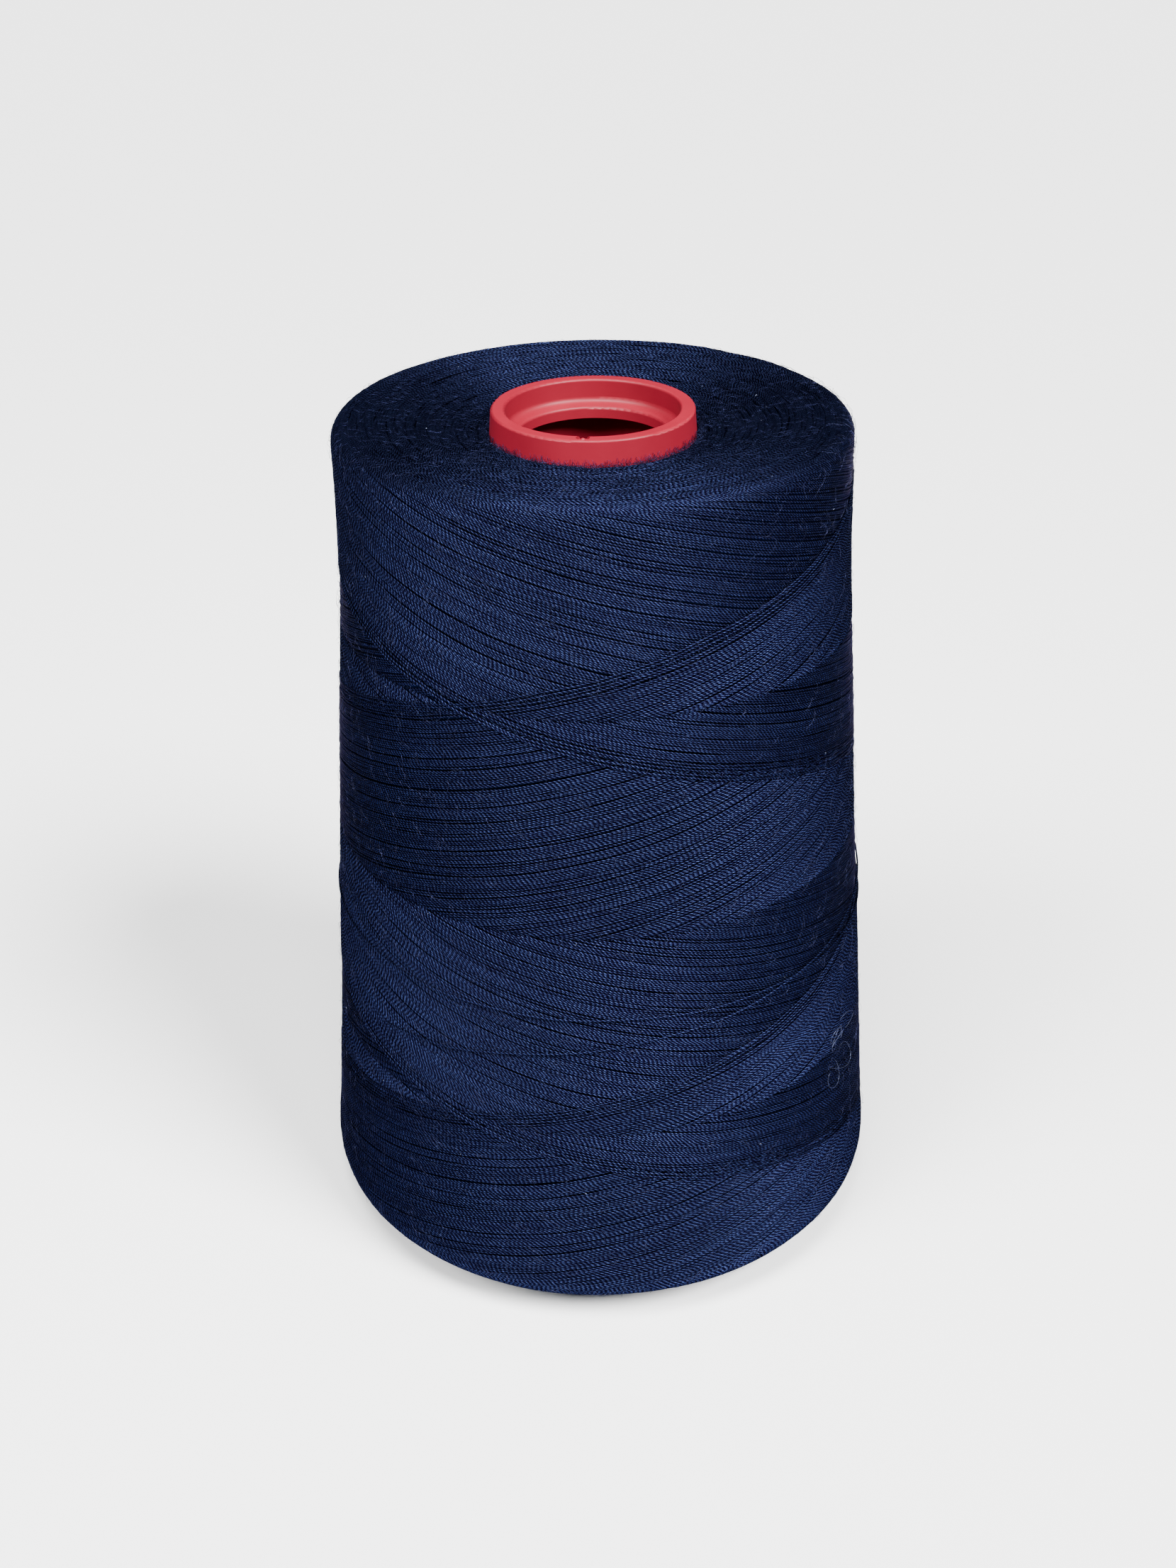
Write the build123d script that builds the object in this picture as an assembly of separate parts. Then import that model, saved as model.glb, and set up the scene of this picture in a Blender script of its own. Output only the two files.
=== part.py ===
from build123d import *
import math
import os

# Cone of sewing thread. A hollow moulded cone stands on its wide end, and one
# continuous sewing thread is cross-wound on it. All sizes are in millimetres.
# The axis is +Z, the origin is the centre of the foot that the cone stands on,
# and the viewer's front is -Y.

# Moulded cone
cone_height = 110.0
taper_deg = 4.0 + 20.0 / 60.0           # half angle of the cone, 4 degrees 20 minutes
nose_outer_r = 12.0                     # outside radius at the nose rim
cone_wall = 1.7                         # wall, measured level
rim_edge_r = 0.3                        # rounding of the nose rim and of the foot
recess_depth = 2.7                      # recess in the nose, down to the collar's ledge
recess_fillet = 0.7                     # inside corner between the recess and the ledge
collar_bore_r = 8.9                     # bore of the collar inside the nose
collar_height = 1.7                     # from the collar's underside to its outer ledge
ledge_drop = 0.35                       # the ledge falls towards the bore
ledge_edge_r = 0.35                     # rounding of the ledge's inner edge
underside_fillet = 0.8                  # inside corner under the collar

# Injection gate mark on the nose rim
gate_angle_deg = -96.0                  # from +X, just left of the front
gate_centre_r = 10.95
gate_crater_r = 0.78
gate_depth = 0.35
gate_stub_r = 0.32                      # torn stub left inside the crater

# Thread package
package_foot_z = 3.0                    # lowest turn on the cone
package_nose_z = 107.1                  # highest turn on the cone
package_base_r = 37.95                  # side line of the winding, carried down to z = 0
nose_edge_z = 109.2                     # highest point of the package's upper edge
nose_edge_inset = 1.7                   # the crest lies this far inside the side
foot_edge_z = 4.2                       # lowest point of the package's lower edge
foot_edge_inset = 1.9
nose_flare = 0.8                        # the side bulges out at its upper end
nose_flare_length = 19.0
foot_flare = 0.15                       # and a little at its lower end
foot_flare_length = 9.0
nose_edge_drop = 2.2                    # from the crest down to the widest turn
foot_edge_rise = 2.0

taper = math.tan(math.radians(taper_deg))


def cone_r(z):
    """Outside radius of the moulded cone at height z."""
    return nose_outer_r + taper * (cone_height - z)


def side_r(z):
    """Radius of the winding's straight side line at height z."""
    return package_base_r - taper * z


def near(shape, r, z):
    """The profile corner closest to radius r and height z."""
    target = Vector(r, 0, z)
    return min(shape.vertices(), key=lambda corner: (corner.center() - target).length)


def spin(profile):
    """Turn a half profile in the XZ plane into a solid about the Z axis."""
    return revolve(profile, Axis.Z, 360)


def cone_profile():
    """Half section of the moulded cone, with its recess and collar."""
    ledge_z = cone_height - recess_depth
    collar_z = ledge_z - collar_height
    recess_r = nose_outer_r - cone_wall
    corners = [
        (cone_r(0), 0, rim_edge_r),
        (nose_outer_r, cone_height, rim_edge_r),
        (recess_r, cone_height, rim_edge_r),
        (recess_r, ledge_z, recess_fillet),
        (collar_bore_r, ledge_z - ledge_drop, ledge_edge_r),
        (collar_bore_r, collar_z, 0),
        (cone_r(collar_z) - cone_wall, collar_z, underside_fillet),
        (cone_r(0) - cone_wall, 0, rim_edge_r),
    ]
    outline = Polyline(*[(r, 0, z) for r, z, _ in corners], close=True)
    profile = make_face(outline)
    for r, z, radius in corners:
        if radius > 0:
            profile = fillet(near(profile, r, z), radius)
    return profile


def gate_mark():
    """The crater that the sprue left in the nose rim, less its torn stub."""
    angle = math.radians(gate_angle_deg)
    centre = Vector(math.cos(angle), math.sin(angle), 0) * gate_centre_r
    floor_z = cone_height - gate_depth
    crater = Pos(centre.X, centre.Y, floor_z + gate_depth) * Cylinder(gate_crater_r, 2 * gate_depth)
    stub = Pos(centre.X, centre.Y, floor_z) * Sphere(gate_stub_r)
    return crater - stub


def core_cone():
    """Hollow cone with a recessed nose, a collar and a gate mark."""
    return spin(cone_profile()) - gate_mark()


def package_profile():
    """Half section of the wound thread, from the cone's surface outwards."""
    foot_in = (cone_r(package_foot_z), 0, package_foot_z)
    nose_in = (cone_r(package_nose_z), 0, package_nose_z)
    side_along = Vector(-taper, 0, 1)

    nose_wide_z = nose_edge_z - nose_edge_drop
    nose_wide = (side_r(nose_wide_z) + nose_flare, 0, nose_wide_z)
    nose_crest = (nose_wide[0] - nose_edge_inset, 0, nose_edge_z)
    flare_z = nose_edge_z - nose_flare_length
    flare_start = (side_r(flare_z), 0, flare_z)

    foot_wide_z = foot_edge_z + foot_edge_rise
    foot_wide = (side_r(foot_wide_z) + foot_flare, 0, foot_wide_z)
    foot_crest = (foot_wide[0] - foot_edge_inset, 0, foot_edge_z)
    foot_end_z = foot_edge_z + foot_flare_length
    foot_end = (side_r(foot_end_z), 0, foot_end_z)

    end_face_along = Vector(1, 0, taper)
    edges = [
        Line(foot_in, nose_in),
        Spline(nose_in, nose_crest, tangents=[end_face_along, Vector(1, 0, 0)]),
        Spline(nose_crest, nose_wide, tangents=[Vector(1, 0, 0), Vector(0, 0, -1)]),
        Spline(nose_wide, flare_start, tangents=[Vector(0, 0, -1), -side_along]),
        Line(flare_start, foot_end),
        Spline(foot_end, foot_wide, tangents=[-side_along, Vector(0, 0, -1)]),
        Spline(foot_wide, foot_crest, tangents=[Vector(0, 0, -1), Vector(-1, 0, 0)]),
        Spline(foot_crest, foot_in, tangents=[Vector(-1, 0, 0), -end_face_along]),
    ]
    return make_face(edges)


def thread_package():
    """All the wound thread as one solid that fills the space around the cone."""
    return spin(package_profile())


def main():
    os.makedirs("parts", exist_ok=True)
    nodes = {
        "core_cone": core_cone(),
        "thread_package": thread_package(),
    }
    for name, shape in nodes.items():
        solid = shape.solids()[0] if len(shape.solids()) == 1 else shape
        export_step(solid, f"parts/{name}.step")
        print(name, len(shape.solids()), "solid", round(shape.volume, 1), "mm3")


main()
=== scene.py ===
import bpy
import math
import numpy as np
from mathutils import Matrix, Vector


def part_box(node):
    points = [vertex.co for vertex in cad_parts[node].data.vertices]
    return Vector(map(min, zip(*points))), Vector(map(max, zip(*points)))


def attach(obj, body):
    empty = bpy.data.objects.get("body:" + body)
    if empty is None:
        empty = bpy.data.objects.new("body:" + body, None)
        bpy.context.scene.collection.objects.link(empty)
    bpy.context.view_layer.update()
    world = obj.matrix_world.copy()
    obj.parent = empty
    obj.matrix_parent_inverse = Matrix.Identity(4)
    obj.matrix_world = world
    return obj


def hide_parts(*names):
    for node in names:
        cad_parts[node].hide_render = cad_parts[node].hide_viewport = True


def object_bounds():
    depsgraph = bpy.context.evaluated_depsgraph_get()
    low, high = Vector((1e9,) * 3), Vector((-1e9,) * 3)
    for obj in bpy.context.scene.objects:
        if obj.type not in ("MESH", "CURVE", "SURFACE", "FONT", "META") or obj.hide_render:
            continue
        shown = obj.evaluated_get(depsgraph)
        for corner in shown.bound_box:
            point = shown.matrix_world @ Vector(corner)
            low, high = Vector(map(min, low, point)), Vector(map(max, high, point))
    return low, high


# A cone of navy sewing thread. The CAD frame gives the moulded cone and the room
# that the thread fills. This script winds real strands of thread over that room.
# Everything is in metres. Angles run from the front (-Y) towards the right (+X).

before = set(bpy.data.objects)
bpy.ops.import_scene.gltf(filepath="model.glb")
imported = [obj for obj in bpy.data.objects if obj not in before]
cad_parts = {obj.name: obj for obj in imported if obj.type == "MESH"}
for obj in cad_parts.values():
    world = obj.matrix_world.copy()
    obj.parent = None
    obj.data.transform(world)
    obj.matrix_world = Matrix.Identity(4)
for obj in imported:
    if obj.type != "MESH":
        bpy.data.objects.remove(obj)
cad_low, cad_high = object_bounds()

MM = 0.001
TURN = 2 * math.pi

# Seeds of the random draws
SIDE_SEED = 11
NOSE_SEED = 21
FOOT_SEED = 22
STRAY_SEED = 31
LINT_SEED = 41

# Outline of the package
HALF_ANGLE = math.radians(4.0 + 20.0 / 60.0)    # slant of the package's side
ON_CONE = 0.02 * MM                     # a point this near the cone lies on it
OUTLINE_POINTS = 1200                   # evenly spaced points along the outline
OUTLINE_ROUNDING = 6                    # points each way that its normals are averaged over
SIDE_SHARE = 0.8                        # the side's radius is over this share of the widest
CONE_END = 2 * MM                       # height of the cone's two ends that give its taper

# Winding
THREAD_R = 0.122 * MM                   # radius of a strand
LEAD = 55.2 * MM                        # rise in one turn
FOOT_APEX_Z = 2.2 * MM                  # where a stroke would turn if it turned sharply
STROKE_TURNS = 2.0                      # turns from foot to nose
REVERSAL = 0.049                        # share of a stroke that the rounded reversal takes
BOTH_SHOW = 0.4                         # share of a reversal where both strokes are laid
STRANDS = 190                           # double strokes that lie side by side in one layer
FRONT_ANGLE = math.radians(148.0)       # where the newest stroke starts at the foot
LAYER = 0.14 * MM                       # one layer's thickness
FRONT_STRANDS = 5                       # newest strands, which lie loosely spaced
FRONT_REACH = 0.24                      # how far older strands run on below them, in radians
BURIED = 0.10 * MM                      # how much deeper those older strands lie

# Unevenness of the winding. Spacings are in shares of the nominal spacing.
GROUP_SIZE = (2, 9)                     # strands that drift together: the least, and one over the most
SPACING_NOISE = 0.15
GROUP_GAP = (0.15, 0.85)                # added between two groups
FRONT_GAP = (0.1, 1.1)                  # added between the newest strands
LEAST_SPACING = 0.75
GROUP_DRIFT = 0.062 * MM                # sideways drift of a group
GROUP_WAVES = (0.021, 0.047, 0.09)      # wavelengths of that drift, in metres
OWN_DRIFT = 0.02 * MM                   # sideways drift of one strand within its group
OWN_WAVES = (0.011, 0.026)
FRONT_DRIFT = 4                         # the newest strands' own drift, in times that
LIFT_DRIFT = 0.018 * MM                 # rise and fall along a strand
LIFT_WAVES = (0.009, 0.03)
LIFT_NOISE = 0.022 * MM                 # difference in height from strand to strand
LIFT_LIMITS = (-0.06 * MM, 0.04 * MM)

# Two-ply twist
TWIST = 1.1                             # one turn of the two plies, in mm
PLY_SHIFT = 0.21                        # shift of the plies from strand to strand, in their turns
PLY_NOISE = 0.05                        # how much that shift varies
PLY_DRIFT = 0.12 * MM                   # uneven twist along a strand
PLY_WAVES = (0.03, 0.013)

# Strand meshes
STEP = 2.2 * MM                         # length of one segment of a strand
SIDES = 6                               # sides of a strand's section
END_SIDES = 5                           # the same on the package's two ends
TUCK = 1.4 * MM                         # a strand runs on this far below its neighbours
TUCK_DEPTH = 0.24 * MM
RINGS_PER_PIECE = 14500                 # keeps each mesh under 200,000 triangles

# Bed of buried thread, painted far darker than the navy thread as the shade in the gaps between
# strands
BED_DEPTH = 0.36 * MM                   # how deep it lies below the outline
BED_INSET = 0.6 * MM                    # how far it keeps from the outline's two ends
BED_GAP = 0.02 * MM                     # between it and the cone
BED_LEAST = 0.1 * MM                    # its outer line keeps this far off the cone
BED_POINTS = (90, 20)                   # points along its outer and its inner line

# Turn-round arcs across the package's ends
RING_PITCH = 1.9 * THREAD_R
ARC_SPAN = (0.5, 1.3)                   # in radians
ARC_STEP = 1.5 * MM                     # length of one segment
ARC_ADVANCE = 0.8                       # from one arc's start to the next, in spans
ARC_SCATTER = 0.2 * MM                  # how far an arc lies off its ring
ARC_SLANT = (-0.5, 0.5)                 # in mm
ARC_BOW = (0.0, 0.4)                    # in mm
ARC_LIFT = (-0.12, 0.05)                # in mm
ARC_TUCK = 0.5 * MM                     # how deep an arc dips at both ends
NOSE_COVER = 2.3                        # times that the arcs go round one ring
FOOT_COVER = 1.7
END_INSET = 0.25 * MM                   # how far the rings keep from the cone
END_OVERLAP = 0.4 * MM                  # how far the rings reach past the end's edge

# Threads laid on last: start and stop angle, height at each, and bow, in degrees and mm
STRAYS = (
    (-132, 128, 48.0, 44.6, 0.4),
    (-52, 150, 37.6, 52.0, 1.6),
)
STRAY_POINTS = 90
STRAY_LIFT = 0.17 * MM
STRAY_TUCK = 0.6 * MM                   # how deep such a thread dips at both ends
STRAY_DRIFT = 0.12 * MM                 # rise and fall along it
STRAY_WAVES = (0.31, 0.12)              # wavelengths of that, in shares of its length
STRAY_R = 34 * MM                       # roughly the package's radius there

# Loose fibres
FIBRE_R = 0.015 * MM                    # radius of a loose fibre
FIBRE_SIDES = 3
FIBRE_POINTS = 6
FIBRE_LIFT = 0.03 * MM                  # least height above the outline
OUTLINE_EDGE = 0.12 * MM                # how far fibres keep from the outline's two ends
PULLED_R = 1.4 * FIBRE_R                # radius of the long fibres pulled loose
PULLED_POINTS = 26
LOOPS_AT = (62, 28 * MM)                # their angle in degrees, and their height
LOOPS_R = 35 * MM                       # roughly the package's radius there
DUST_R = 0.03 * MM
DUST_SIDES = 5

# Dark and light colour of each thread, of each kind of fibre and of the moulding
NAVY = ((0.0015, 0.0009, 0.0058), (0.0355, 0.0520, 0.140))
# The buried bed's navy is far darker than the thread's: painted shade in the gaps between strands
SHADED_BED_NAVY = ((0.001, 0.002, 0.008), (0.003, 0.006, 0.02))
# Loose fibres on the ends and round the collar are painted darker than the same fibres on the side, as
# shade on the package's ends
SHADED_END_FIBRE = ((0.008, 0.009, 0.030), (0.048, 0.056, 0.135))
LIT_SIDE_FIBRE = ((0.02, 0.022, 0.055), (0.11, 0.12, 0.23))
PULLED_FIBRE = ((0.06, 0.07, 0.12), (0.24, 0.27, 0.40))
DUST = ((0.10, 0.12, 0.18), (0.34, 0.37, 0.46))
RED = ((0.142, 0.0034, 0.0112), (0.188, 0.0050, 0.0158))

# How the thread's light and dark are mixed, with painted shade in the grooves between the plies
MIX_BASE = 0.35
CLOUD_SHARE = 0.3                       # of slow changes over the package
FIBRE_SHARE = 0.7                       # of the fine fibres
TONE_LEAST = 0.78                       # the darkest strand
TONE_RANGE = 0.45                       # what the lightest strand has more
# The valleys between the plies are painted dark as shade, which leaves a narrow light crest
PLY_SHADE_POWER = 3.3                         # narrows the light crest of each ply
SLUB_RATE = 1.8                         # changes of brightness in one mm of strand, about
LANE_SPREAD = 900.0                     # keeps the strands' changes unlike each other
FIBRE_RELIEF = 0.25                     # relief of the fine fibres, in shares of the plies'

# Roughness of thread and moulding
ROUGH_LEAST = 0.42
ROUGH_RANGE = 0.12                      # what their noise adds at most


# ---------------------------------------------------------------- outline of the package

def section_points():
    """Corners of the CAD package's half section as (r, z), in order round the section."""
    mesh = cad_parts["thread_package"].data
    co = np.zeros(len(mesh.vertices) * 3)
    mesh.vertices.foreach_get("co", co)
    co = co.reshape(-1, 3)
    rz = np.stack([np.hypot(co[:, 0], co[:, 1]), co[:, 2]], axis=1)
    rz = np.unique(rz.round(5), axis=0)
    middle = (rz.min(axis=0) + rz.max(axis=0)) / 2
    turn = np.arctan2(rz[:, 1] - middle[1], rz[:, 0] - middle[0])
    return rz[np.argsort(-turn)]


class Outline:
    """The package's outer line, from the cone's nose over the side to the cone's foot."""

    def __init__(self):
        ring = section_points()
        core = core_radius(ring[:, 1])
        free = ring[:, 0] > core + ON_CONE
        outer = ring[free]
        inner = ring[~free]
        nose_in = inner[inner[:, 1].argmax()]
        foot_in = inner[inner[:, 1].argmin()]
        start = np.hypot(*(outer - nose_in).T).argmin()
        outer = np.roll(outer, -start, axis=0)
        line = np.vstack([nose_in, outer, foot_in])
        arc = np.concatenate([[0], np.cumsum(np.hypot(*np.diff(line, axis=0).T))])
        self.length = arc[-1]
        self.w = np.linspace(0, self.length, OUTLINE_POINTS)
        self.r = np.interp(self.w, arc, line[:, 0])
        self.z = np.interp(self.w, arc, line[:, 1])
        along = np.stack([np.gradient(self.r), np.gradient(self.z)])
        along = smooth(along / np.hypot(*along), OUTLINE_ROUNDING)
        along /= np.hypot(*along)
        self.nr = -along[1]
        self.nz = along[0]
        self.crest = self.w[self.z.argmax()]
        side = np.abs(self.z - 0.5 * (cad_low[2] + cad_high[2]))
        self.middle = self.w[np.argmin(side + (self.r < SIDE_SHARE * self.r.max()))]
        self.middle_z = np.interp(self.middle, self.w, self.z)

    def at(self, w, lift):
        """Radius and height at outline position w, lifted along the outward normal."""
        r = np.interp(w, self.w, self.r)
        z = np.interp(w, self.w, self.z)
        nr = np.interp(w, self.w, self.nr)
        nz = np.interp(w, self.w, self.nz)
        return r + lift * nr, z + lift * nz, nr, nz

    def side_position(self, z):
        """Outline position of a point at height z on the straight side line."""
        return self.middle + (self.middle_z - z) / math.cos(HALF_ANGLE)


def smooth(rows, width):
    """Running mean along the last axis."""
    kernel = np.ones(2 * width + 1) / (2 * width + 1)
    padded = np.pad(rows, ((0, 0), (width, width)), mode="edge")
    return np.stack([np.convolve(row, kernel, mode="valid") for row in padded])


def core_radius(z):
    """Outside radius of the moulded cone at height z, from its CAD mesh."""
    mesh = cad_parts["core_cone"].data
    co = np.zeros(len(mesh.vertices) * 3)
    mesh.vertices.foreach_get("co", co)
    co = co.reshape(-1, 3)
    r = np.hypot(co[:, 0], co[:, 1])
    low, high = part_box("core_cone")
    foot = co[:, 2] < low.z + CONE_END
    nose = co[:, 2] > high.z - CONE_END
    foot_r = r[foot].max()
    nose_r = r[nose].max()
    return foot_r + (nose_r - foot_r) * (z - low.z) / (high.z - low.z)


# ---------------------------------------------------------------- strands of thread

def wander(rng, count, length, wavelengths, size):
    """Smooth random drift along each of count strands, as functions of arc length."""
    total = np.zeros((count, len(length)))
    for wavelength in wavelengths:
        phase = rng.uniform(0, TURN, (count, 1))
        scale = rng.uniform(0.7, 1.4, (count, 1))
        total += np.sin(TURN * length * scale / wavelength + phase)
    return size * total / math.sqrt(len(wavelengths))


def on_package(outline, angle, w, lift):
    """Points and outward normals on the package at angles from the front."""
    r, z, nr, nz = outline.at(w, lift)
    sin, cos = np.sin(angle), np.cos(angle)
    points = np.stack([r * sin, -r * cos, z], axis=-1)
    normals = np.stack([nr * sin, -nr * cos, nz], axis=-1)
    return points, normals


def strand_groups(rng, count):
    """Small groups of neighbours that drift together: each strand's group, and how many."""
    group = []
    index = 0
    while len(group) < count:
        group += [index] * int(rng.integers(*GROUP_SIZE))
        index += 1
    return np.array(group[:count]), index


def strand_phases(rng):
    """How far each strand starts behind the newest one, its group, and how many groups."""
    spacing = 1 + SPACING_NOISE * rng.standard_normal(STRANDS)
    group, groups = strand_groups(rng, STRANDS)
    edges = np.flatnonzero(np.diff(group)) + 1
    spacing[edges] += rng.uniform(*GROUP_GAP, len(edges))
    spacing[:FRONT_STRANDS] += rng.uniform(*FRONT_GAP, FRONT_STRANDS)
    spacing = np.clip(spacing, LEAST_SPACING, None)
    phase = np.concatenate([[0], np.cumsum(spacing)[:-1]]) * TURN / spacing.sum()
    return phase, group, groups


def strand_drift(rng, group, groups, length, angle_per_metre):
    """Sideways drift of each strand as an angle. The newest strands drift most."""
    shared = wander(rng, groups, length, GROUP_WAVES, GROUP_DRIFT)[group]
    own = wander(rng, STRANDS, length, OWN_WAVES, OWN_DRIFT)
    own[:FRONT_STRANDS] *= FRONT_DRIFT
    return (shared + own) * angle_per_metre


def side_runs(outline):
    """The visible stretches of every stroke of the last layer on the package's side."""
    rng = np.random.default_rng(SIDE_SEED)
    stroke = TURN * STROKE_TURNS
    mean_r = 0.5 * (outline.r[outline.w > outline.crest].max() + outline.r[np.argmax(outline.z)])
    turn_length = math.hypot(TURN * mean_r, LEAD)
    samples = int(2 * STROKE_TURNS * turn_length / STEP)
    psi = np.linspace(0, 2 * stroke, samples, endpoint=False)
    length = psi / TURN * turn_length

    # Height along a double stroke, up and down again
    share = psi / stroke
    away = np.minimum(share % 2, 2 - share % 2)
    height = FOOT_APEX_Z + round_reversal(away) * STROKE_TURNS * LEAD

    phase, group, groups = strand_phases(rng)
    angle_per_metre = 1 / (mean_r * math.sin(math.atan2(LEAD, TURN * mean_r)))
    drift = strand_drift(rng, group, groups, length, angle_per_metre)

    # At each point, the newer of the two strokes that cross there lies on top
    straight = FOOT_APEX_Z + away * STROKE_TURNS * LEAD
    rise = TURN * (straight - FOOT_APEX_Z) / LEAD
    angle = FRONT_ANGLE + phase[:, None] + psi[None, :]
    age_own = np.broadcast_to(phase[:, None], angle.shape)
    other = np.where(share < 1, angle + rise, angle - rise)
    age_other = (other - FRONT_ANGLE) % TURN
    below_front = (age_other < FRONT_REACH) & (age_own > age_other)
    age_other = age_other + TURN * below_front
    near_turn = np.minimum(away, 1 - away) < BOTH_SHOW * REVERSAL
    visible = (age_own < age_other) | near_turn[None, :]

    lift = LAYER * (1 - (age_own + age_other) / TURN)
    lift = lift - BURIED * below_front
    lift = lift + wander(rng, STRANDS, length, LIFT_WAVES, LIFT_DRIFT)
    lift = lift + np.clip(rng.normal(0, LIFT_NOISE, (STRANDS, 1)), *LIFT_LIMITS)
    w = np.broadcast_to(outline.side_position(height)[None, :], angle.shape)
    tone = rng.uniform(0, 1, STRANDS)
    shifts = TWIST * MM * (PLY_SHIFT + PLY_NOISE * rng.standard_normal(STRANDS))
    marks = length + np.cumsum(shifts)[:, None]
    marks = marks + wander(rng, STRANDS, length, PLY_WAVES, PLY_DRIFT)
    return collect_runs(outline, angle + drift, w, lift - THREAD_R, visible, tone, marks)


def round_reversal(away):
    """Height share of a stroke, with its two reversals rounded off."""
    foot = np.where(away < REVERSAL, REVERSAL / 2 * (1 + (away / REVERSAL) ** 2), away)
    left = 1 - foot
    return np.where(left < REVERSAL, 1 - REVERSAL / 2 * (1 + (left / REVERSAL) ** 2), foot)


def collect_runs(outline, angle, w, lift, visible, tone, marks):
    """Cut every strand into its visible runs, each tucked under at both ends."""
    extra = max(1, round(TUCK / STEP))
    runs = []
    for i in range(len(angle)):
        edges = np.flatnonzero(np.diff(np.concatenate([[0], visible[i].view(np.int8), [0]])))
        for first, last in edges.reshape(-1, 2):
            ahead = np.arange(first - extra, last + extra)
            inside = np.clip(ahead, first, last - 1)
            known = np.clip(ahead, 0, angle.shape[1] - 1)
            outside = np.abs(ahead - inside) / extra
            raised = lift[i, inside] - TUCK_DEPTH * outside
            points, normals = on_package(outline, angle[i, known], w[i, known], raised)
            keep = np.ones(len(points), bool)
            keep[1:] = np.abs(np.diff(known)) > 0
            runs.append((points[keep], normals[keep], tone[i], marks[i, known][keep]))
    return runs


def end_runs(outline, inner, outer, seed, cover):
    """Turn-round arcs of the older layers, ring by ring across one end of the package."""
    rng = np.random.default_rng(seed)
    runs = []
    rings = int(abs(outer - inner) / RING_PITCH)
    for ring in range(rings + 1):
        centre = inner + (outer - inner) * (ring + 0.5) / (rings + 1)
        r = float(np.interp(centre, outline.w, outline.r))
        angle = rng.uniform(0, TURN)
        stop = angle + TURN * cover
        while angle < stop:
            span = rng.uniform(*ARC_SPAN)
            count = max(6, int(span * r / ARC_STEP))
            share = np.linspace(-1, 1, count)
            theta = angle + span * (share + 1) / 2
            bow = rng.normal(0, ARC_SCATTER) + rng.uniform(*ARC_SLANT) * MM * share
            bow = bow + rng.uniform(*ARC_BOW) * MM * (1 - share ** 2)
            w = np.clip(centre + bow, min(inner, outer), max(inner, outer))
            lift = rng.uniform(*ARC_LIFT) * MM - ARC_TUCK * np.abs(share) ** 6
            points, normals = on_package(outline, theta, w, lift - THREAD_R)
            runs.append((points, normals, rng.uniform(0, 1), theta * r))
            angle += span * ARC_ADVANCE
    return runs


def stray_runs(outline):
    """Single threads that were wound on last, at a shallow slope, round the front."""
    rng = np.random.default_rng(STRAY_SEED)
    runs = []
    for start, stop, low, high, bow in STRAYS:
        share = np.linspace(0, 1, STRAY_POINTS)
        angle = math.radians(start) + math.radians(stop - start) * share
        height = low + (high - low) * share + bow * 4 * share * (1 - share)
        height = height * MM + wander(rng, 1, share, STRAY_WAVES, STRAY_DRIFT)[0]
        lift = STRAY_LIFT - STRAY_TUCK * np.abs(2 * share - 1) ** 60
        w = outline.side_position(height)
        points, normals = on_package(outline, angle, w, lift)
        runs.append((points, normals, 1.0, angle * STRAY_R))
    return runs


def lint_runs(rng, outline, count, band, reach, height, lean=0.0, free=0.5):
    """Loose fibres over a band of the outline: some loops, some with a free end."""
    runs = []
    share = np.linspace(0, 1, FIBRE_POINTS)
    for _ in range(count):
        w0 = rng.uniform(*band)
        angle0 = rng.uniform(0, TURN)
        r = float(np.interp(w0, outline.w, outline.r))
        span = rng.uniform(*reach)
        heading = rng.normal(0, 0.9) if lean == 0 else rng.normal(-math.pi / 2, lean)
        curl = rng.normal(0, 1.6)
        course = heading + curl * share + rng.uniform(-0.5, 0.5) * np.sin(7 * share)
        step = span / (len(share) - 1)
        along = np.concatenate([[0], np.cumsum(step * np.cos(course))[:-1]])
        down = np.concatenate([[0], np.cumsum(step * np.sin(course))[:-1]])
        top = height * rng.uniform(0.1, 1.0) ** 2
        shape = share ** 1.3 if rng.uniform() < free else np.sin(math.pi * share)
        w = np.clip(w0 + down, OUTLINE_EDGE, outline.length - OUTLINE_EDGE)
        lift = top * shape + FIBRE_LIFT
        points, normals = on_package(outline, angle0 + along / r, w, lift)
        runs.append((points, normals, rng.uniform(0, 1), along))
    return runs


def curled_fibres(rng, outline, count, angle, height, spread):
    """Long fibres pulled loose in one place, curled up in open loops."""
    runs = []
    share = np.linspace(0, 1, PULLED_POINTS)
    for _ in range(count):
        start = math.radians(angle) + rng.normal(0, spread) / LOOPS_R
        w0 = outline.side_position(height) + rng.normal(0, 1.6 * spread)
        size = rng.uniform(0.8, 1.6) * MM
        heading = rng.uniform(0, TURN)
        turn = rng.choice((-1, 1)) * rng.uniform(0.5, 1.0) * TURN
        sway = heading + turn * (share + rng.uniform(-0.3, 0.3) * np.sin(math.pi * share))
        length = 6 * size
        along = length * np.cumsum(np.cos(sway)) / len(share)
        down = length * np.cumsum(np.sin(sway)) / len(share)
        lift = 0.05 * MM + rng.uniform(0.3, 1.1) * MM * np.sin(math.pi * share) ** 2
        points, normals = on_package(outline, start + along / LOOPS_R, w0 + down, lift)
        runs.append((points, normals, rng.uniform(0, 1), along))
    return runs


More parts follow.
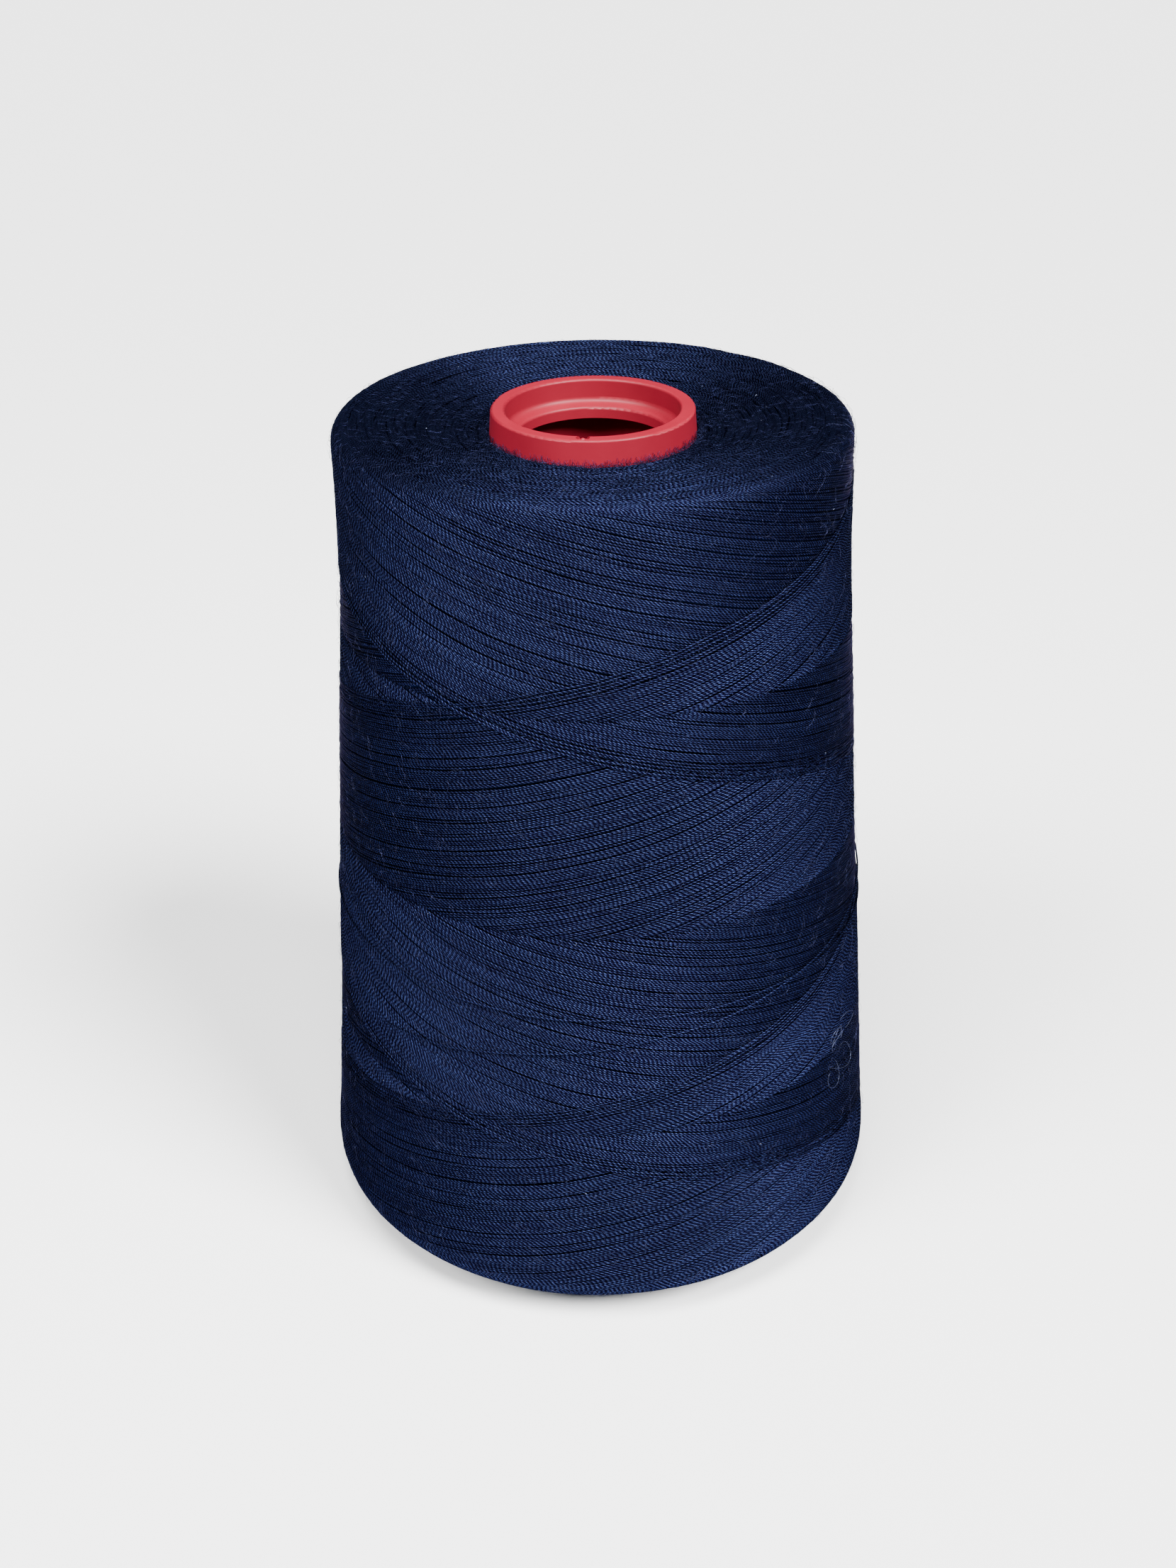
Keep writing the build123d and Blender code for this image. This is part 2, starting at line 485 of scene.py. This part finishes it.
def tube_mesh(name, runs, radius, sides):
    """One mesh of closed tubes, with the strand's own coordinates kept on its points."""
    around = np.arange(sides) * TURN / sides
    cos, sin = np.cos(around), np.sin(around)
    verts, strand, tones, quads, caps = [], [], [], [], []
    offset = 0
    for points, normals, tone, length in runs:
        tangent = np.gradient(points, axis=0)
        tangent /= np.linalg.norm(tangent, axis=1, keepdims=True)
        across = np.cross(tangent, normals)
        across /= np.linalg.norm(across, axis=1, keepdims=True)
        up = np.cross(across, tangent)
        ring = up[:, None, :] * cos[None, :, None] + across[:, None, :] * sin[None, :, None]
        verts.append((points[:, None, :] + radius * ring).reshape(-1, 3))
        count = len(points)
        along = np.repeat(length / MM, sides)
        strand.append(np.stack([along, np.tile(sin, count), np.tile(cos, count)], axis=1))
        tones.append(np.full(count * sides, tone))
        grid = offset + np.arange(count * sides).reshape(count, sides)
        beside = np.roll(grid, -1, axis=1)
        quad = np.stack([grid[:-1], beside[:-1], beside[1:], grid[1:]], axis=-1)
        quads.append(quad.reshape(-1, 4))
        caps.append(grid[0][::-1])
        caps.append(grid[-1])
        offset += count * sides
    return mesh_object(
        name, np.vstack(verts), np.vstack(quads), np.array(caps),
        strand=np.vstack(strand), tone=np.concatenate(tones),
    )


def mesh_object(name, verts, quads, caps, strand=None, tone=None):
    """A smooth mesh object from arrays of points, quads and end caps."""
    mesh = bpy.data.meshes.new(name)
    loops = np.concatenate([quads.ravel(), caps.ravel()])
    starts = np.arange(len(quads)) * 4
    if len(caps):
        starts = np.concatenate([starts, quads.size + np.arange(len(caps)) * caps.shape[1]])
    mesh.vertices.add(len(verts))
    mesh.vertices.foreach_set("co", verts.astype(np.float32).ravel())
    mesh.loops.add(len(loops))
    mesh.loops.foreach_set("vertex_index", loops.astype(np.int32))
    mesh.polygons.add(len(starts))
    mesh.polygons.foreach_set("loop_start", starts.astype(np.int32))
    mesh.polygons.foreach_set("use_smooth", np.ones(len(starts), bool))
    if strand is not None:
        layer = mesh.attributes.new("strand", "FLOAT_VECTOR", "POINT")
        layer.data.foreach_set("vector", strand.astype(np.float32).ravel())
    if tone is not None:
        layer = mesh.attributes.new("tone", "FLOAT", "POINT")
        layer.data.foreach_set("value", tone.astype(np.float32))
    mesh.update(calc_edges=True)
    mesh.validate()
    thing = bpy.data.objects.new(name, mesh)
    bpy.context.scene.collection.objects.link(thing)
    return thing


def split_runs(runs, limit):
    """Share the runs out so that no mesh holds more than limit rings of points."""
    batches, batch, held = [], [], 0
    for run in runs:
        if held + len(run[0]) > limit:
            batches.append(batch)
            batch, held = [], 0
        batch.append(run)
        held += len(run[0])
    batches.append(batch)
    return batches


def lathe(name, profile, steps=240):
    """A closed solid of revolution from a closed (r, z) profile."""
    angle = np.arange(steps) * TURN / steps
    r, z = profile[:, 0], profile[:, 1]
    x = r[:, None] * np.sin(angle)
    y = -r[:, None] * np.cos(angle)
    verts = np.stack([x, y, np.broadcast_to(z[:, None], x.shape)], axis=-1).reshape(-1, 3)
    grid = np.arange(len(profile) * steps).reshape(len(profile), steps)
    below = np.roll(grid, -1, axis=0)
    quads = np.stack([grid, np.roll(grid, -1, axis=1), np.roll(below, -1, axis=1), below], axis=-1)
    return mesh_object(name, verts, quads.reshape(-1, 4), np.zeros((0, 3), int))


# ---------------------------------------------------------------- materials

def material(name):
    """A new node material with its shader."""
    made = bpy.data.materials.new(name)
    made.use_nodes = True
    return made, made.node_tree, made.node_tree.nodes["Principled BSDF"]


def noise_node(tree, vector, scale, detail):
    """A Noise Texture node. Returns its value output."""
    node = tree.nodes.new("ShaderNodeTexNoise")
    node.inputs["Scale"].default_value = scale
    node.inputs["Detail"].default_value = detail
    tree.links.new(vector, node.inputs["Vector"])
    return node.outputs["Fac"]


def colour_mix(tree, factor, dark, light):
    """A mix of two colours by a factor. Returns its colour output."""
    node = tree.nodes.new("ShaderNodeMix")
    node.data_type = "RGBA"
    node.inputs["A"].default_value = (*dark, 1)
    node.inputs["B"].default_value = (*light, 1)
    tree.links.new(factor, node.inputs["Factor"])
    return node.outputs["Result"]


def bump_node(tree, height, strength, distance):
    """Relief from a height. Returns the bent normal."""
    node = tree.nodes.new("ShaderNodeBump")
    node.inputs["Strength"].default_value = strength
    node.inputs["Distance"].default_value = distance
    tree.links.new(height, node.inputs["Height"])
    return node.outputs["Normal"]


def attribute_node(tree, name):
    """An Attribute node that reads one of the strand meshes' own attributes."""
    node = tree.nodes.new("ShaderNodeAttribute")
    node.attribute_name = name
    return node


def ply_height(tree, split):
    """Height of the two plies round and along a strand: 1 on a crest, 0 in a valley."""
    turn = math_node(tree, "ARCTAN2", split.outputs["Y"], split.outputs["Z"])
    twist = math_node(tree, "MULTIPLY", split.outputs["X"], TURN / TWIST)
    phase = math_node(tree, "SUBTRACT", turn, twist)
    double = math_node(tree, "MULTIPLY", phase, 2.0)
    wave = math_node(tree, "COSINE", double)
    return math_node(tree, "MULTIPLY_ADD", wave, 0.5, 0.5)


def slub_share(tree, split, tone):
    """Brighter and darker places along each strand, from its uneven yarn."""
    lane = tree.nodes.new("ShaderNodeCombineXYZ")
    tree.links.new(math_node(tree, "MULTIPLY", split.outputs["X"], SLUB_RATE), lane.inputs["X"])
    tree.links.new(math_node(tree, "MULTIPLY", tone, LANE_SPREAD), lane.inputs["Y"])
    slub = noise_node(tree, lane.outputs["Vector"], scale=1.0, detail=2.0)
    step = tree.nodes.new("ShaderNodeMapRange")
    step.inputs["From Min"].default_value = 0.3
    step.inputs["From Max"].default_value = 0.7
    step.inputs["To Min"].default_value = 0.3
    step.inputs["To Max"].default_value = 1.0
    tree.links.new(slub, step.inputs["Value"])
    return step.outputs["Result"]


def thread_material(name, dark, light):
    """Spun two-ply thread: plies twisted along each strand, with soft sheen and painted shade in the
    grooves between the plies.
    """
    made, tree, shader = material(name)
    links = tree.links
    split = tree.nodes.new("ShaderNodeSeparateXYZ")
    links.new(attribute_node(tree, "strand").outputs["Vector"], split.inputs[0])
    tone = attribute_node(tree, "tone").outputs["Fac"]
    ply = ply_height(tree, split)

    place = tree.nodes.new("ShaderNodeTexCoord").outputs["Object"]
    fibre = noise_node(tree, place, scale=5200.0, detail=2.0)
    cloud = noise_node(tree, place, scale=90.0, detail=3.0)
    mix = math_node(tree, "MULTIPLY_ADD", cloud, CLOUD_SHARE, MIX_BASE)
    mix = math_node(tree, "MULTIPLY_ADD", fibre, FIBRE_SHARE, mix)
    mix = math_node(tree, "MULTIPLY", mix, slub_share(tree, split, tone))
    strand_share = math_node(tree, "MULTIPLY_ADD", tone, TONE_RANGE, TONE_LEAST)
    mix = math_node(tree, "MULTIPLY", mix, strand_share)
    # Painted shade: the colour darkens into the grooves between the plies
    mix = math_node(tree, "MULTIPLY", mix, math_node(tree, "POWER", ply, PLY_SHADE_POWER))
    links.new(colour_mix(tree, mix, dark, light), shader.inputs["Base Color"])

    relief = math_node(tree, "MULTIPLY_ADD", fibre, FIBRE_RELIEF, ply)
    links.new(bump_node(tree, relief, strength=0.6, distance=0.05 * MM), shader.inputs["Normal"])
    rough = math_node(tree, "MULTIPLY_ADD", fibre, ROUGH_RANGE, ROUGH_LEAST)
    links.new(rough, shader.inputs["Roughness"])
    shader.inputs["Metallic"].default_value = 0.95
    shader.inputs["Specular IOR Level"].default_value = 0.08
    shader.inputs["Specular Tint"].default_value = (0.17, 0.11, 0.26, 1)
    return made


def math_node(tree, operation, *values):
    """A Math node fed with sockets or numbers. Returns its output."""
    node = tree.nodes.new("ShaderNodeMath")
    node.operation = operation
    for slot, value in zip(node.inputs, values):
        if isinstance(value, (int, float)):
            slot.default_value = value
        else:
            tree.links.new(value, slot)
    return node.outputs[0]


def plastic_material():
    """Satin red moulding: faint flow cloudiness and a fine grain."""
    made, tree, shader = material("red_moulding")
    place = tree.nodes.new("ShaderNodeTexCoord").outputs["Object"]
    cloud = noise_node(tree, place, scale=160.0, detail=4.0)
    grain = noise_node(tree, place, scale=2600.0, detail=3.0)
    tree.links.new(colour_mix(tree, cloud, *RED), shader.inputs["Base Color"])
    relief = bump_node(tree, grain, strength=0.25, distance=0.02 * MM)
    tree.links.new(relief, shader.inputs["Normal"])
    rough = math_node(tree, "MULTIPLY_ADD", cloud, ROUGH_RANGE, ROUGH_LEAST)
    tree.links.new(rough, shader.inputs["Roughness"])
    shader.inputs["Specular IOR Level"].default_value = 0.25
    return made


def floor_material():
    """Plain pale floor."""
    made, _, shader = material("pale_floor")
    shader.inputs["Base Color"].default_value = (0.93, 0.93, 0.93, 1)
    shader.inputs["Roughness"].default_value = 0.9
    shader.inputs["Specular IOR Level"].default_value = 0.1
    return made


# ---------------------------------------------------------------- pieces

def finish_piece(thing, look, slot, *replaced):
    """Give a piece its material and its body, and hide the CAD nodes it stands for. The slot argument
    is not used.
    """
    thing.data.materials.append(look)
    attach(thing, "root")
    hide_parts(*replaced)


def finish_thread(thing, look):
    """Finish a piece that stands for the CAD model's thread package."""
    finish_piece(thing, look, "navy_thread", "thread_package")


def build_strands(name, runs, look, sides):
    """Strands of thread as numbered meshes."""
    for index, batch in enumerate(split_runs(runs, RINGS_PER_PIECE)):
        finish_thread(tube_mesh(f"{name}_{index}", batch, THREAD_R, sides), look)


def build_thread():
    """The buried bed, the last layer's strokes, the two ends, the stray threads and lint."""
    outline = Outline()
    look = thread_material("navy_thread", *NAVY)
    # The bed's much darker navy is painted shade in the gaps between the strands
    deep = thread_material("shaded_bed_thread", *SHADED_BED_NAVY)
    finish_thread(lathe("thread_bed", outline_bed(outline, BED_DEPTH)), deep)
    build_strands("winding", side_runs(outline), look, SIDES)

    nose_edge = outline.crest + END_OVERLAP
    nose = end_runs(outline, END_INSET, nose_edge, NOSE_SEED, NOSE_COVER)
    finish_thread(tube_mesh("nose_end_turns", nose, THREAD_R, END_SIDES), look)
    foot_turn = outline.side_position(FOOT_APEX_Z + REVERSAL / 2 * STROKE_TURNS * LEAD)
    foot_end = outline.length - END_INSET
    foot = end_runs(outline, foot_end, foot_turn - END_OVERLAP, FOOT_SEED, FOOT_COVER)
    build_strands("foot_end_turns", foot, look, END_SIDES)
    finish_thread(tube_mesh("stray_threads", stray_runs(outline), THREAD_R, SIDES), look)
    build_lint(outline)


def build_lint(outline):
    """Loose fibres over the whole package, thickest round the collar, and some dust. Fibres on the
    ends and round the collar are painted darker than those on the side, as shade.
    """
    shaded_end_look = thread_material("shaded_end_fibre", *SHADED_END_FIBRE)
    lit_side_look = thread_material("lit_side_fibre", *LIT_SIDE_FIBRE)
    pulled_look = thread_material("pulled_fibre", *PULLED_FIBRE)
    rng = np.random.default_rng(LINT_SEED)
    nose = (0.2 * MM, outline.crest + 3 * MM)
    side = (outline.crest, outline.length - 14 * MM)
    foot = (outline.length - 17 * MM, outline.length - 0.3 * MM)
    collar = (0.1 * MM, 1.3 * MM)
    reach = (0.8 * MM, 3.0 * MM)
    nose_fibres = lint_runs(
        rng, outline, count=4000, band=nose, reach=(0.6 * MM, 2.6 * MM), height=0.4 * MM
    )
    side_fibres = lint_runs(rng, outline, count=6000, band=side, reach=reach, height=0.4 * MM)
    foot_fibres = lint_runs(rng, outline, count=1500, band=foot, reach=reach, height=0.3 * MM)
    collar_fibres = lint_runs(
        rng, outline, count=1800, band=collar, reach=(0.3 * MM, 1.0 * MM), height=0.9 * MM,
        lean=0.8, free=0.7,
    )
    loops = curled_fibres(rng, outline, 6, *LOOPS_AT, spread=2.2 * MM)
    finish_thread(tube_mesh("nose_lint", nose_fibres, FIBRE_R, FIBRE_SIDES), shaded_end_look)
    finish_thread(tube_mesh("side_lint", side_fibres, FIBRE_R, FIBRE_SIDES), lit_side_look)
    finish_thread(tube_mesh("foot_lint", foot_fibres, FIBRE_R, FIBRE_SIDES), shaded_end_look)
    finish_thread(tube_mesh("collar_lint", collar_fibres, FIBRE_R, FIBRE_SIDES), shaded_end_look)
    finish_thread(tube_mesh("loose_loops", loops, PULLED_R, FIBRE_SIDES), pulled_look)

    whole = (0.3 * MM, outline.length - 12 * MM)
    flecks = lint_runs(
        rng, outline, count=60, band=whole, reach=(0.1 * MM, 0.35 * MM), height=0.12 * MM
    )
    dust = tube_mesh("dust_flecks", flecks, DUST_R, DUST_SIDES)
    finish_thread(dust, thread_material("dust_fleck", *DUST))


def outline_bed(outline, depth):
    """Closed profile of the buried thread, sunk below the outline and off the cone."""
    w = np.linspace(BED_INSET, outline.length - BED_INSET, BED_POINTS[0])
    r, z, _, _ = outline.at(w, -depth)
    inner_z = np.linspace(z[-1], z[0], BED_POINTS[1])
    inner_r = core_radius(inner_z) + BED_GAP
    keep = r > core_radius(z) + BED_LEAST
    outer = np.stack([r[keep], z[keep]], axis=1)
    inner = np.stack([inner_r, inner_z], axis=1)
    return np.vstack([outer, inner])[::-1]


def build_plastic():
    """The moulded cone keeps its CAD shape and takes its own material."""
    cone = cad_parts["core_cone"]
    cone.data.materials.clear()
    cone.data.materials.append(plastic_material())


# ---------------------------------------------------------------- studio

CAMERA_PLACE = Vector((0.0, -0.20375, 0.17721))
CAMERA_AIM = Vector((-0.0012, 0.0, 0.0590))
CAMERA_ROLL = math.radians(-0.83)
CAMERA_LENS = 41.27                     # in mm
FLOOR_SIZE = 8                          # in metres
NEAR_AIM = Vector((0, 0, 0.09))         # on the axis below the nose end, for the near softbox


def build_camera():
    """A view down on the front from about 0.24 m away, with a slight roll."""
    data = bpy.data.cameras.new("camera")
    data.lens = CAMERA_LENS
    data.clip_start = 0.01
    data.clip_end = 20
    camera = bpy.data.objects.new("camera", data)
    ahead = (CAMERA_AIM - CAMERA_PLACE).normalized()
    right = ahead.cross(Vector((0, 0, 1))).normalized()
    up = right.cross(ahead)
    cos, sin = math.cos(CAMERA_ROLL), math.sin(CAMERA_ROLL)
    rolled_right = right * cos + up * sin
    rolled_up = up * cos - right * sin
    camera.matrix_world = Matrix.Translation(CAMERA_PLACE) @ Matrix(
        (rolled_right, rolled_up, -ahead)
    ).transposed().to_4x4()
    bpy.context.scene.collection.objects.link(camera)
    bpy.context.scene.camera = camera


def soft_sun(name, azimuth, elevation, spread, strength):
    """A far, wide light. Azimuth 0 is the front and 90 the right, in degrees."""
    data = bpy.data.lights.new(name, "SUN")
    data.angle = math.radians(spread)
    data.energy = strength
    light = bpy.data.objects.new(name, data)
    side, up = math.radians(azimuth), math.radians(elevation)
    towards = Vector((math.sin(side) * math.cos(up), -math.cos(side) * math.cos(up), math.sin(up)))
    light.matrix_world = towards.to_track_quat("Z", "Y").to_matrix().to_4x4()
    bpy.context.scene.collection.objects.link(light)


def near_softbox(name, place, size, power):
    """A small softbox close to the nose end, which lights it more than the foot."""
    data = bpy.data.lights.new(name, "AREA")
    data.shape = "DISK"
    data.size = size
    data.energy = power
    light = bpy.data.objects.new(name, data)
    towards = Vector(place) - NEAR_AIM
    turn = towards.to_track_quat("Z", "Y").to_matrix().to_4x4()
    light.matrix_world = Matrix.Translation(place) @ turn
    bpy.context.scene.collection.objects.link(light)


def build_studio():
    """Pale floor, soft lights from both sides and above, and a dim surround."""
    bpy.ops.mesh.primitive_plane_add(size=FLOOR_SIZE)
    floor = bpy.context.object
    floor.name = "floor"
    floor.data.materials.append(floor_material())
    soft_sun("right_softbox", azimuth=52, elevation=47, spread=24, strength=11.3)
    soft_sun("left_softbox", azimuth=-56, elevation=47, spread=24, strength=4.3)
    near_softbox("near_softbox", place=(-0.04, -0.12, 0.35), size=0.14, power=1.9)
    soft_sun("front_softbox", azimuth=-20, elevation=58, spread=40, strength=0.7)
    world = bpy.data.worlds.new("surround")
    world.use_nodes = True
    background = world.node_tree.nodes["Background"]
    background.inputs["Color"].default_value = (0.9, 0.93, 1.0, 1)
    background.inputs["Strength"].default_value = 0.03
    bpy.context.scene.world = world


build_thread()
build_plastic()
build_camera()
build_studio()
